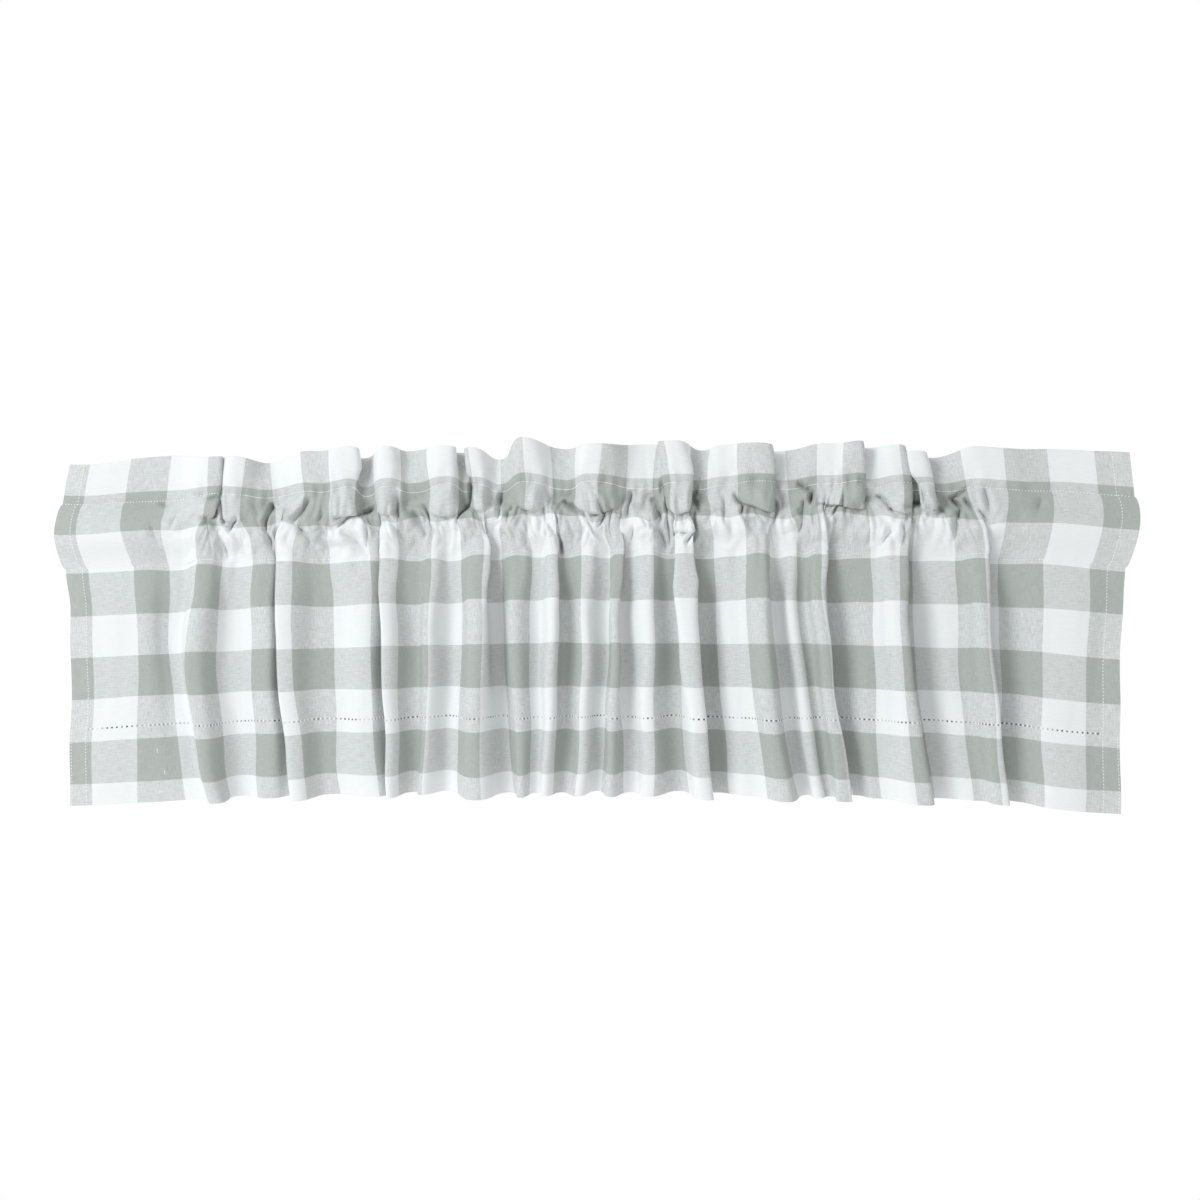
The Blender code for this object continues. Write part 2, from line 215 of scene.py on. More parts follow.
SKIRT_COLUMNS = ("flat", "flat_hem", "seam", "middle", "hem", "depth", "depth_hem")
SKIRT_FOLDS = (
    (0.0, 0.0, -557, -551, -553, 0, 0),
    (1.6, 1.6, -478, -474, -474, 2, 4),
    (2.75, 2.8, -436, -436, -415, 14, 8),
    (3.65, 3.7, -406, -415, -392, -16, -16),
    (5.0, 5.0, -374, -374, -366, 10, 14),
    (5.9, 6.0, -337, -337, -333, -4, 0),
    (6.5, 6.5, -318, -320, -313, 14, 10),
    (7.2, 7.1, -321, -323, -306, -14, -12),
    (8.4, 8.3, -276, -276, -270, 8, 10),
    (9.4, 9.4, -230, -229, -223, -2, 2),
    (10.4, 10.4, -200, -202, -200, 16, 20),
    (11.1, 11.1, -212, -212, -208, -13, -12),
    (12.0, 12.0, -178, -180, -183, 10, 10),
    (12.5, 12.5, -162, -165, -173, -4, -4),
    (13.1, 13.1, -142, -144, -149, 14, 14),
    (14.4, 14.4, -109, -110, -109, -20, -20),
    (15.3, 15.4, -95, -92, -81, 14, 12),
    (16.1, 16.1, -70, -71, -67, -12, -10),
    (16.7, 16.7, -48, -50, -53, 4, 4),
    (17.3, 17.2, -33, -35, -41, -16, -10),
    (17.9, 17.9, -22, -23, -23, 8, 8),
    (18.6, 18.6, 0, -1, -4, -8, -8),
    (19.4, 19.4, 23, 20, 16, 10, 10),
    (20.0, 20.0, 35, 31, 31, -14, -12),
    (20.6, 20.7, 40, 41, 49, 8, 8),
    (21.3, 21.4, 67, 68, 68, -10, -10),
    (22.2, 22.2, 87, 91, 97, 12, 12),
    (23.1, 23.2, 103, 109, 124, -20, -20),
    (24.2, 24.2, 122, 125, 138, 14, 12),
    (25.0, 25.0, 154, 159, 174, -2, -2),
    (26.1, 26.1, 185, 193, 213, -22, -20),
    (26.8, 26.8, 199, 205, 228, 8, 8),
    (27.3, 27.3, 215, 219, 243, -6, -5),
    (27.8, 27.7, 228, 232, 256, 3, 3),
    (28.4, 28.3, 241, 248, 268, -17, -15),
    (29.4, 29.4, 246, 250, 275, 14, 12),
    (30.4, 30.4, 293, 296, 302, 2, 0),
    (31.4, 31.7, 321, 330, 354, -18, -18),
    (32.4, 32.6, 334, 341, 367, 14, 12),
    (33.4, 33.6, 379, 386, 405, 6, 4),
    (34.4, 34.5, 407, 417, 430, -16, -10),
    (35.2, 35.4, 412, 420, 430, 14, 12),
    (37.0, 37.0, 494, 492, 491, -4, -4),
    (38.24, 38.24, 554, 549, 550, 0, 0),
)

# Creases where the gathers pinch the cloth, most of them in the pocket's front wall: both ends, across
# and down from the upper stitches, how deep they are and how wide.
CREASE_COLUMNS = ("across", "drop", "to_across", "to_drop", "depth", "width")
CREASES = (
    (-453, 3, -442, 9, 2, 3),
    (-433, 18, -438, 32, 2, 3),
    (-458, 29, -452, 48, 2, 5),
    (-402, 6, -388, 6, 3, 3),
    (-403, 26, -388, 40, 3, 4),
    (-387, 7, -381, 28, 6, 3),
    (-368, 21, -377, 40, 5, 3),
    (-389, 43, -381, 67, 3, 5),
    (-334, 10, -339, 41, 6, 3),
    (-339, 41, -332, 65, 4, 5),
    (-293, 11, -307, 31, 6, 4),
    (-307, 31, -293, 57, 4, 5),
    (-225, 16, -240, 27, 6, 3),
    (-240, 27, -260, 39, 5, 3),
    (-257, 44, -229, 74, 4, 6),
    (-233, 37, -230, 66, 3, 3),
    (-198, 12, -194, 31, 6, 3),
    (-188, 24, -171, 51, 5, 3),
    (-170, 20, -165, 35, 4, 3),
    (-121, -8, -119, 15, 7, 3),
    (-120, 13, -134, 38, 6, 3),
    (-89, 3, -93, 37, 7, 3),
    (-82, 29, -81, 39, 3, 3),
    (-109, 35, -103, 49, 4, 3),
    (-44, 29, -42, 42, 3, 3),
    (-42, 42, -27, 62, 4, 5),
    (-27, 58, -25, 74, 6, 3),
    (-19, 17, 0, 33, 6, 3),
    (6, 29, 15, 21, 3, 3),
    (14, 15, 19, 28, 7, 3),
    (19, 28, 16, 38, 5, 3),
    (-58, 49, -61, 67, 2, 4),
    (48, 5, 47, 32, 5, 3),
    (71, 14, 80, 38, 7, 3),
    (80, -5, 84, 12, 5, 3),
    (84, 10, 87, 38, 6, 3),
    (87, 38, 88, 64, 5, 3),
    (116, 1, 112, 10, 5, 3),
    (112, 10, 118, 30, 7, 3),
    (115, 30, 115, 51, 5, 3),
    (115, 51, 107, 68, 5, 3),
    (91, 59, 98, 51, 3, 2),
    (98, 51, 108, 59, 3, 2),
    (145, 14, 145, 42, 3, 3),
    (156, 12, 165, 24, 6, 3),
    (165, 24, 163, 35, 5, 3),
    (197, 18, 198, 36, 6, 3),
    (28, 38, 30, 68, 3, 3),
    (50, 47, 48, 62, 3, 3),
    (76, 47, 84, 68, 4, 4),
    (169, 43, 184, 44, 2, 4),
    (222, -5, 236, 9, 5, 3),
    (236, 9, 234, 22, 8, 3),
    (228, 17, 225, 41, 4, 4),
    (225, 41, 220, 51, 4, 4),
    (245, 24, 265, 25, 3, 3),
    (266, 26, 260, 36, 6, 3),
    (269, 11, 270, 29, 3, 3),
    (292, 14, 274, 25, 4, 4),
    (274, 25, 272, 36, 3, 3),
    (303, 11, 315, 19, 6, 3),
    (315, 19, 317, 27, 6, 3),
    (329, 18, 346, 18, 4, 3),
    (348, 8, 350, 18, 5, 3),
    (350, 18, 363, 22, 6, 3),
    (363, 22, 369, 30, 6, 3),
    (378, 9, 386, 23, 7, 3),
    (386, 22, 383, 35, 5, 3),
    (381, 35, 381, 57, 3, 4),
    (379, 8, 393, 1, 5, 3),
    (391, 12, 396, 21, 6, 3),
    (316, 49, 308, 66, 3, 4),
    (326, 40, 329, 66, 3, 3),
    (411, 1, 415, 20, 4, 5),
    (404, 23, 413, 30, 3, 3),
    (467, 9, 462, 21, 2, 6),
)

# Yarns. Real ones lie about 0.45 mm apart, and are drawn twice as coarse so that they show at all.
# Streaks and patches are given as swells across and down, in metres, and a seed.
YARN_EDGE = 0.0004
DRAWN_YARN = 0.0009
WARP_STREAK = (0.0011, 0.008, 1.0)
WEFT_STREAK = (0.010, 0.0011, 2.0)
STREAK_STRENGTH = 0.38
WEAVE_STRENGTH = 0.22
EVEN_MIX = 0.5
YARN_SHADE = 0.08
UNEVEN_DYE = 0.5
FULL_DYE_STREAK = 0.7
SINGLE_SHADE = 0.96

# Painted shadow of the hemstitch holes: heights of their wave and of the patches between which they open
HOLE_PATCHES = (0.018, 1.0, 9.0)
HOLE_EDGES = (0.25, 0.7)
PATCH_EDGES = (0.38, 0.6)
HOLE_HALF_HEIGHT = 0.0011
LEAST_OPEN = 0.25
HOLE_SHADOW = "#24292A"

# Finishes, by the names of the shader's sockets. The thread's fibres swell 900 times in a metre.
COTTON = {"Roughness": 0.88, "IOR": 1.45, "Specular IOR Level": 0.25, "Sheen Weight": 0.08}
COTTON_RELIEF = {"Strength": 0.35, "Distance": 0.0002}
THREAD = {"Roughness": 0.7}
THREAD_RELIEF = {"Strength": 0.4, "Distance": 0.0001}
THREAD_SHADES = ("#E6E9E8", "#F4F6F5")
FIBRE_SWELLS = 900.0
FLOOR = {"Roughness": 0.9, "Emission Color": (1.0, 1.0, 1.0, 1.0), "Emission Strength": 0.3}
FLOOR_COLOUR = "#F7F7F7"

# The numbers of a Mix node's colour sockets: its two inputs and its output
MIX_FROM = 6
MIX_TO = 7
MIX_OUT = 2

# Fineness of the cloth's meshes: their columns, their rows in each stretch, and where these end. A
# row close to each edge keeps the edge crisp.
CLOTH_COLUMNS = 700
POCKET_COLUMNS = 1000
FRONT_ROWS = 44
HEADING_ROWS = 14
HEADING_BACK_ROWS = 10
BACK_WALL_ROWS = 10
HEM_ROWS = 14
SKIRT_ROWS = 20
UPPER_SKIRT_ROWS = 14
EDGE = 0.25
HEADING_MARGIN = 1.5
FOLD_MARGIN = 4.0
FOLD_ROWS = (1.9, 1.2, 0.6, 0.0, -0.6, -1.2, -1.9)
HEM_MARGIN = 3.0
SKIRT_ROWS_END = 120.0
UPPER_SKIRT_START = 116.0

# A hair keeps a row on its own piece of cloth. Near is how far to both sides the cloth's slope is felt
# at a stitch, and how far from the hemstitch its two rows of the mesh lie.
HAIR = 0.01
NEAR = 0.4

# Thickness of the cloth as a share of that where both hems meet
ONE_LAYER_SHARE = 0.4
SIDE_HEM_SHARE = 0.7
BOTTOM_HEM_SHARE = 0.8
HEM_FOLD_SHARE = 0.5

# How much of the thread shows where the lower stitches sink into the gathers
SUNK_SHARE = 0.5

# How far the side-hem stitches lie from the hem's inner edge and, below the hemstitch, also from its
# outer one, and how far from the heading's fold and from the bottom hem their rows end
HEM_STITCHES = 1.5
EDGE_STITCHES = 1.8
FIRST_STITCH = 3.0
LAST_STITCH = 1.5

# Fineness of a stitch, and in metres the length, width and height of a bundle and of a thread end
STITCH_SIDES = 6
STITCH_RINGS = 4
BUNDLE_SIZE = (0.0030, 0.0011, 0.0008)
THREAD_END_SIZE = (0.0055, 0.0008, 0.0008)

# Two short thread ends that lie on the bottom hem: place along the cloth and drop
THREAD_ENDS = ((94.0, 274.0), (101.0, 297.0))

# The stage, in metres
AIM = (0.0158, 0.0, -0.17)
EYE = (0.2938, -2.585, -0.17)
LENS = 74.9
KEY_PLACE = (-2.4, -2.7, 1.6)
FILL_PLACE = (2.6, 3.4, 1.9)
LAMP_SIZE = 1.6
LAMP_COLOUR = (0.96, 0.99, 1.0)
FLOOR_HEIGHT = -1.1
FLOOR_RADIUS = 1.4
FLOOR_SIDES = 64


def from_hex(code):
    """An sRGB hex colour as the linear values that shaders take."""
    values = [int(code[i : i + 2], 16) / 255.0 for i in (1, 3, 5)]
    return [v / 12.92 if v <= 0.04045 else ((v + 0.055) / 1.055) ** 2.4 for v in values] + [1.0]


def columns(names, rows):
    """A table as one array for each named column."""
    return dict(zip(names, np.array(rows, dtype=float).T))


def ease(start, end, value):
    """A smooth rise from 0 at start to 1 at end."""
    share = np.clip((value - start) / (end - start), 0.0, 1.0)
    return share * share * (3.0 - 2.0 * share)


def bell(distance, reach):
    """1 at no distance, fading softly to nothing beyond the reach."""
    return np.exp(-((distance / reach) ** 2))


# Main folds


def through_heights(table, drop):
    """A skirt fold line's place across at a drop, on one curve through its three heights."""
    low, mid, high = SEAM_DROP, MIDDLE_DROP, HEM_DROP
    return (
        table["seam"] * (drop - mid) * (drop - high) / ((low - mid) * (low - high))
        + table["middle"] * (drop - low) * (drop - high) / ((mid - low) * (mid - high))
        + table["hem"] * (drop - low) * (drop - mid) / ((high - low) * (high - mid))
    )


def fold_curve(flat, across, depth, freedom):
    """The level cut through the cloth: flat place, across and depth along one smooth curve.

    The curve runs straight along the valance at each fold line and swings from one to the next. Where
    the lines stand close together it swings out past them, as far as its freedom lets it use up the
    flat cloth between them, so that the fold overhangs as cloth does.
    """
    t = np.linspace(0.0, 1.0, CURVE_STEPS + 1)
    glide = ease(0.0, 1.0, t)
    swing = t * (1.0 - t) * (1.0 - 2.0 * t)
    cloth = np.diff(flat)
    run = np.diff(across)
    turn = np.diff(depth)
    low = np.zeros_like(cloth)
    high = MOST_SWING * cloth
    for _ in range(REACH_HALVINGS):
        reach = 0.5 * (low + high)
        x = run[:, None] * glide + reach[:, None] * swing
        y = turn[:, None] * glide
        length = np.hypot(np.diff(x, axis=1), np.diff(y, axis=1)).sum(axis=1)
        low = np.where(length > cloth, low, reach)
        high = np.where(length > cloth, reach, high)
    crowded = 1.0 - ease(OPEN_RUN, LOOSE_RUN, run / cloth)
    most = LOOSE_SWING * np.maximum(run, 0.0) + MOST_SWING * freedom * cloth * crowded
    reach = np.maximum(np.minimum(reach, most), np.maximum(run, ROUNDING * cloth))
    x = across[:-1, None] + run[:, None] * glide + reach[:, None] * swing
    y = depth[:-1, None] + turn[:, None] * glide
    step = np.hypot(np.diff(x, axis=1), np.diff(y, axis=1))
    walked = np.concatenate([np.zeros((len(cloth), 1)), np.cumsum(step, axis=1)], axis=1)
    place = flat[:-1, None] + cloth[:, None] * walked / walked[:, -1:]
    return (
        np.append(place[:, :-1].ravel(), flat[-1]),
        np.append(x[:, :-1].ravel(), across[-1]),
        np.append(y[:, :-1].ravel(), depth[-1]),
    )


def cloth_line(flat, across, depth, freedom, places):
    """Points at the given flat places along a level cut: across and depth."""
    place, x, y = fold_curve(flat, across, depth, freedom)
    return np.interp(places, place, x), np.interp(places, place, y)


def heading_line(share, places):
    """The heading cut level at a share of its rise above the upper stitches."""
    table = columns(HEADING_COLUMNS, HEADING_FOLDS)
    across = table["stitch"] + (table["top"] - table["stitch"]) * share
    depth = table["depth"] * (STITCH_DEPTH_SHARE + (1.0 - STITCH_DEPTH_SHARE) * share)
    freedom = STITCH_FREEDOM + (1.0 - STITCH_FREEDOM) * share
    return cloth_line(table["flat"] * CHECK_WIDTH, across, depth, freedom, places)


def heading_rise(places):
    """How high the heading's top edge stands above the upper stitches."""
    table = columns(HEADING_COLUMNS, HEADING_FOLDS)
    flat = table["flat"] * CHECK_WIDTH
    left = np.clip(np.searchsorted(flat, places, side="right") - 1, 0, len(flat) - 2)
    share = ease(flat[left], flat[left + 1], places)
    return table["rise"][left] + np.diff(table["rise"])[left] * share


def skirt_line(drop, places):
    """The skirt cut level at a drop."""
    table = columns(SKIRT_COLUMNS, SKIRT_FOLDS)
    down = (drop - SEAM_DROP) / (HEM_DROP - SEAM_DROP)
    flat = CHECK_WIDTH * (table["flat"] + (table["flat_hem"] - table["flat"]) * down)
    fade = ease(MIDDLE_DROP, HEM_DROP, drop)
    share = ease(SEAM_DROP, FULL_DEPTH_DROP, drop)
    opened = SEAM_DEPTH_SHARE + (1.0 - SEAM_DEPTH_SHARE) * share
    freedom = SEAM_FREEDOM + (1.0 - SEAM_FREEDOM) * share
    depth = opened * (table["depth"] + (table["depth_hem"] - table["depth"]) * fade)
    return cloth_line(flat, through_heights(table, drop), depth, freedom, places)


def line_height(across):
    """The height of the upper stitches, which sag towards both ends."""
    left = LEFT_SAG * (np.maximum(-across, 0.0) / HALF_WIDTH) ** LEFT_SAG_POWER
    right = RIGHT_SAG * (np.maximum(across, 0.0) / HALF_WIDTH) ** RIGHT_SAG_POWER
    return -LINE_DROP - left - right


def hang_height(across, drop):
    """The height of a point at a drop below the upper stitches, the pocket drawn up a little."""
    end_shrink = np.where(across < 0.0, LEFT_SHRINK, RIGHT_SHRINK)
    shrink = POCKET_SHRINK + (end_shrink - POCKET_SHRINK) * ease(END_START, END_FULL, np.abs(across))
    return line_height(across) - np.minimum(drop, SEAM_DROP) * shrink - np.maximum(drop - SEAM_DROP, 0.0)


def set_out(x, y, distance):
    """A level line moved out from the cloth's face by a distance, towards the front."""
    run = np.gradient(x)
    turn = np.gradient(y)
    size = np.hypot(run, turn)
    return x + turn / size * distance, y - run / size * distance


# Gathers and creases


def wander(places, drop, wave):
    """A soft uneven wave over the flat cloth."""
    size, width, height, seed = wave
    spots = [Vector((place / width, drop / height, seed)) for place in places]
    return size * np.array([noise.noise(spot) for spot in spots])


def puffs(places, drop, wave):
    """Rounded swells that meet in sharp valleys, as crowded cloth does; the valleys lie back."""
    return VALLEY_SHARE * wave[0] - np.abs(wander(places, drop, wave))


def liveliness(x):
    """How lively the gathers are: full in the middle, calmer where the ends lie flat."""
    return END_CALM + (1.0 - END_CALM) * (1.0 - ease(CALM_START, CALM_END, np.abs(x)))


def row_lift(y, drop):
    """How far the rows of checks ride up on the skirt's ridges: most at the lower stitches."""
    above = ease(RIDGE_END, SEAM_DROP, drop)
    below = 1.0 - max(drop - SEAM_DROP, 0.0) / (HEM_DROP - SEAM_DROP)
    return -ROW_LIFT * y * above * below


def stitch_lift(places, share):
    """How far the cloth rides up on the heading's ridges, with a share of 1 at the upper stitches."""
    return -STITCH_LIFT * heading_line(0.0, places)[1] * share


def gathers(x, places, drop):
    """The small gathers that the two rows of stitches draw into the cloth above and below them."""
    above = np.exp(-np.maximum(SEAM_DROP - drop, 0.0) / ABOVE_SEAM)
    below = np.exp(-np.maximum(drop - SEAM_DROP, 0.0) / BELOW_SEAM)
    at_seam = wander(places, drop, SEAM_RIPPLE) + wander(places, drop, SEAM_GATHER)
    at_stitches = wander(places, drop, STITCH_RIPPLE) * np.exp(-abs(drop) / BY_STITCHES)
    return liveliness(x) * (at_seam * above * below + at_stitches)


def stitch_dip(drop):
    """How far a row of stitches sinks into the cloth."""
    return STITCH_DIP * bell(drop, STITCH_DIP_REACH) + SEAM_DIP * bell(drop - SEAM_DROP, STITCH_DIP_REACH)


def crease_pull(x, drop):
    """How far the creases draw the cloth back at a place, and how far they pinch it across."""
    table = columns(CREASE_COLUMNS, CREASES)
    start = np.stack([table["across"], table["drop"]])
    way = np.stack([table["to_across"], table["to_drop"]]) - start
    point = np.stack([x, np.full_like(x, drop)])[:, :, None]
    along = ((point - start[:, None, :]) * way[:, None, :]).sum(axis=0) / (way**2).sum(axis=0)
    near = np.clip(along, 0.0, 1.0)
    off = point - (start[:, None, :] + way[:, None, :] * near)
    away = np.hypot(off[0], off[1])
    width = CREASE_WIDTH * table["width"]
    slope = np.exp((CREASE_POINT - np.sqrt(away**2 + CREASE_POINT**2)) / width)
    swell = 1.0 - CREASE_TAPER * (2.0 * near - 1.0) ** 2
    depth = CREASE_DEPTH * table["depth"] * slope * swell
    shoulder = SHOULDER * table["depth"] * swell * np.exp(-((away / width - SHOULDER_PLACE) ** 2))
    pick = depth.argmax(axis=1)
    rows = np.arange(len(x))
    pinch = -PINCH * off[0][rows, pick] * slope[rows, pick]
    return depth[rows, pick] - shoulder.max(axis=1), pinch


def fullness(drop):
    """How far the pocket stands open at a drop, from 0 at a row of stitches to 1 half way."""
    return np.sqrt(max(np.sin(np.pi * drop / SEAM_DROP), 0.0))


def mouth_flare(x, drop):
    """How far the pocket's open ends spread along the valance."""
    from_end = np.maximum(HALF_WIDTH - np.abs(x), 0.0)
    return np.sign(x) * MOUTH_FLARE * fullness(drop) * bell(from_end, MOUTH_REACH)


# Rows of the cloth. A drop above the heading's fold goes on down its back, as the flat cloth does.


def pocket_row(drop, places):
    """The front wall of the pocket at a drop, with the heading's ridges running out over it.

    Each ridge swells below the stitches and ends in a lip that hangs over the fuller cloth below.
    """
    top_x, top_y = heading_line(0.0, places)
    seam_x, seam_y = skirt_line(SEAM_DROP, places)
    share = ease(0.0, SEAM_DROP, drop)
    x = top_x + (seam_x - top_x) * share
    late = wander(places, 0.0, RIDGE_END_WAVE)
    swell = 1.0 + RIDGE_SWELL * ease(0.0, RIDGE_FULL, drop)
    ridge = swell * (1.0 - ease(RIDGE_START, RIDGE_END, drop - late))
    hung_share = ease(RIDGE_START, SEAM_DROP, drop)
    full = np.sin(np.pi * drop / SEAM_DROP) ** 2
    y = top_y * ridge + seam_y * hung_share - FRONT_BULGE * full
    x, y = set_out(x, y, LAYER_GAP * (1.0 - share))
    lively = liveliness(x)
    back, pinch = crease_pull(x, drop)
    pucker = puffs(places, drop, POCKET_PUFF) + puffs(places, drop, POCKET_PUCKER)
    y = y + back + stitch_dip(drop) + gathers(x, places, drop)
    y = y + (lively - END_CALM) * np.sqrt(full) * pucker
    y = y - fullness(drop) * np.maximum(y - back_wall(places, drop)[1] + WALL_GAP, 0.0)
    droop = RIDGE_DROOP * np.maximum(-top_y, 0.0) * bell(drop - late - DROOP_MIDDLE, DROOP_REACH)
    sideways = (lively - END_CALM) * full * wander(places, drop, POCKET_SIDE_WAVE)
    x = x + pinch + sideways + mouth_flare(x, drop)
    z = hang_height(x, drop) + row_lift(seam_y, drop)
    z = z + stitch_lift(places, bell(drop, STITCH_LIFT_REACH))
    return x, y, z + (lively - END_CALM) * (full * wander(places, drop, POCKET_ROW_WAVE) - droop)


def heading_row(drop, places):
    """One of the heading's two layers: a drop past the fold lies on the back."""
    over = -drop - HEADING_RISE
    quarter = FOLD_RADIUS * np.pi / 2.0
    angle = np.clip(over / quarter, -1.0, 1.0) * np.pi / 2.0
    share = 1.0 - np.maximum(abs(over) - quarter, 0.0) / (HEADING_RISE - quarter)
    x, y = heading_line(share, places)
    gap = LAYER_GAP + (FOLD_RADIUS - LAYER_GAP) * share + LAYER_PUFF * np.sin(np.pi * share)
    x, y = set_out(x, y, -gap * np.sin(angle) + share * wander(places, drop, HEADING_WAVE))
    height = HEADING_RISE - abs(over)
    back, pinch = crease_pull(x, -height)
    y = y + back - np.sign(over) * stitch_dip(height) + gathers(x, places, -height)
    x = x + pinch
    z = line_height(x) + (heading_rise(places) - FOLD_RADIUS) * share + FOLD_RADIUS * np.cos(angle)
    return x, y, z + stitch_lift(places, (1.0 - share) ** 2)


def back_wall(places, drop):
    """The back wall of the pocket cut level at a drop below the stitches."""
    top_x, top_y = heading_line(0.0, places)
    seam_x, seam_y = skirt_line(SEAM_DROP, places)
    share = ease(0.0, SEAM_DROP, drop)
    full = fullness(drop)
    x = top_x + (seam_x - top_x) * share
    y = (top_y + (seam_y - top_y) * share) * (1.0 - BACK_FLATTER * full) + BACK_BULGE * full
    x, y = set_out(x, y, -LAYER_GAP)
    back, pinch = crease_pull(x, drop)
    folds = wander(places, drop, BACK_FOLD) + wander(places, drop, BACK_RIPPLE)
    y = y + folds * full * liveliness(x) + (back + gathers(x, places, drop)) * (1.0 - full)
    return x + pinch * (1.0 - full) + mouth_flare(x, drop), y


def back_row(drop, places):
    """A row of the pocket's back wall."""
    x, y = back_wall(places, drop)
    z = hang_height(x, drop) + row_lift(skirt_line(SEAM_DROP, places)[1], drop)
    return x, y, z + stitch_lift(places, bell(drop, STITCH_LIFT_REACH))


def skirt_row(drop, places):
    """The hanging skirt at a drop."""
    x, y = skirt_line(drop, places)
    down = (drop - SEAM_DROP) / (HEM_DROP - SEAM_DROP)
    z = hang_height(x, drop) + HEM_LIFT * y * down + row_lift(skirt_line(SEAM_DROP, places)[1], drop)
    below = ease(SEAM_DROP, SEAM_DROP + SWELL_REACH, drop)
    soft = wander(places, drop, SKIRT_WAVE) + wander(places, drop, SKIRT_RIPPLE)
    x, y = set_out(x, y, soft * below - stitch_dip(drop))
    back, pinch = crease_pull(x, drop)
    y = y + back + gathers(x, places, drop)
    x = x + pinch + wander(places, drop, FOLD_LINE_WAVE) * below
    return x, y, z + wander(places, drop, SKIRT_ROW_WAVE) * below


def cloth_row(drop, places):
    """Where a row of the flat cloth hangs, from the hem up, over the heading and down the back."""
    level = drop
    if drop > SEAM_DROP:
        x, y, z = skirt_row(drop, places)
    elif drop >= 0.0:
        x, y, z = pocket_row(drop, places)
    elif drop > BACK_DROP:
        x, y, z = heading_row(drop, places)
        level = 0.0
    else:
        level = BACK_DROP - drop
        x, y, z = back_row(level, places)
    return x, y, z + wander(places, 0.0, STITCH_LINE_WAVE) * bell(level, STITCH_WAVE_REACH)


def hung(drops, places):
    """The hung cloth at drops and flat places, in metres: rows, columns and x, y, z."""
    return np.array([np.stack(cloth_row(drop, places), axis=1) for drop in drops]) * METRES


def pocket_drops():
    """The rows of the pocket's front wall, from the lower stitches up."""
    wall = np.linspace(SEAM_DROP - EDGE, EDGE, FRONT_ROWS)
    return np.concatenate([[SEAM_DROP], wall, [0.0]])


def heading_drops():
    """The rows of the heading's front, its fold and its back, and of the pocket's back wall."""
    front = np.linspace(-HEADING_MARGIN, FOLD_MARGIN - HEADING_RISE, HEADING_ROWS)
    fold = np.array(FOLD_ROWS) - HEADING_RISE
    back = np.linspace(-FOLD_MARGIN - HEADING_RISE, BACK_DROP + HEADING_MARGIN, HEADING_BACK_ROWS)
    wall = np.linspace(BACK_DROP, BACK_DROP - SEAM_DROP + EDGE, BACK_WALL_ROWS)
    return np.concatenate([[-HAIR, -EDGE], front, fold, back, wall, [BACK_DROP - SEAM_DROP]])


def skirt_drops():
    """The rows of the skirt from the hem up, closest together below the lower stitches."""
    hem = np.linspace(HEM_DROP - HEM_MARGIN, HEMSTITCH_DROP + NEAR, HEM_ROWS)
    middle = np.linspace(HEMSTITCH_DROP - NEAR, SKIRT_ROWS_END, SKIRT_ROWS)
    upper = np.linspace(UPPER_SKIRT_START, SEAM_DROP + EDGE, UPPER_SKIRT_ROWS)
    return np.concatenate([[HEM_DROP, HEM_DROP - EDGE], hem, middle, upper, [SEAM_DROP + HAIR]])


# Mesh and material helpers


def put_in_scene(name, bm, material):
    """A bmesh as a smooth object in the scene, at the origin."""
    mesh = bpy.data.meshes.new(name)
    bm.to_mesh(mesh)
    bm.free()
    mesh.materials.append(material)
    mesh.shade_smooth()
    piece = bpy.data.objects.new(name, mesh)
    bpy.context.scene.collection.objects.link(piece)
    return piece


def hang_cloth(name, drops, column_count, material):
    """Lay out a grid of flat cloth, mark its place on the cut cloth, and move it to where it hangs."""
    places = np.linspace(EDGE, CLOTH_WIDTH - EDGE, column_count - 1)
    places = np.concatenate([[0.0], places, [CLOTH_WIDTH]])
    shape = hung(drops, places)
    bm = bmesh.new()
    bmesh.ops.create_grid(bm, x_segments=column_count, y_segments=len(drops) - 1, size=0.5)
    uv = bm.loops.layers.uv.new("cloth")
    weight = bm.verts.layers.deform.verify()
    spot = {}
    for vert in bm.verts:
        column = round((vert.co.x + 0.5) * column_count)
        row = round((vert.co.y + 0.5) * (len(drops) - 1))
        spot[vert] = (places[column] * METRES, drops[row] * METRES)
        vert[weight][0] = cloth_layers(places[column], drops[row])
        vert.co = shape[row, column]
    for face in bm.faces:
        for loop in face.loops:
            loop[uv].uv = spot[loop.vert]
    piece = put_in_scene(name, bm, material)
    piece.vertex_groups.new(name="layers")
    return piece


def cloth_layers(place, drop):
    """The cloth's thickness as a share of that where both hems meet."""
    side = min(place, CLOTH_WIDTH - place) < SIDE_HEM
    if drop >= HEM_DROP:
        return HEM_FOLD_SHARE
    if drop > HEMSTITCH_DROP:
        return 1.0 if side else BOTTOM_HEM_SHARE
    return SIDE_HEM_SHARE if side else ONE_LAYER_SHARE


def thicken(piece, thickness):
    """Give the sheet its thickness behind its face, more at the hems."""
    modifier = piece.modifiers.new("thickness", "SOLIDIFY")
    modifier.thickness = thickness
    modifier.offset = -1.0
    modifier.vertex_group = "layers"
    modifier.use_quality_normals = True


def add_node(tree, kind, inputs=None, **settings):
    """One node with its settings and its inputs: values, or the nodes and sockets that feed them."""
    made = tree.nodes.new("ShaderNode" + kind)
    for name, value in settings.items():
        setattr(made, name, value)
    for key, value in (inputs or {}).items():
        if isinstance(value, bpy.types.Node):
            value = value.outputs[0]
        if isinstance(value, bpy.types.NodeSocket):
            tree.links.new(value, made.inputs[key])
        else:
            made.inputs[key].default_value = value
    return made


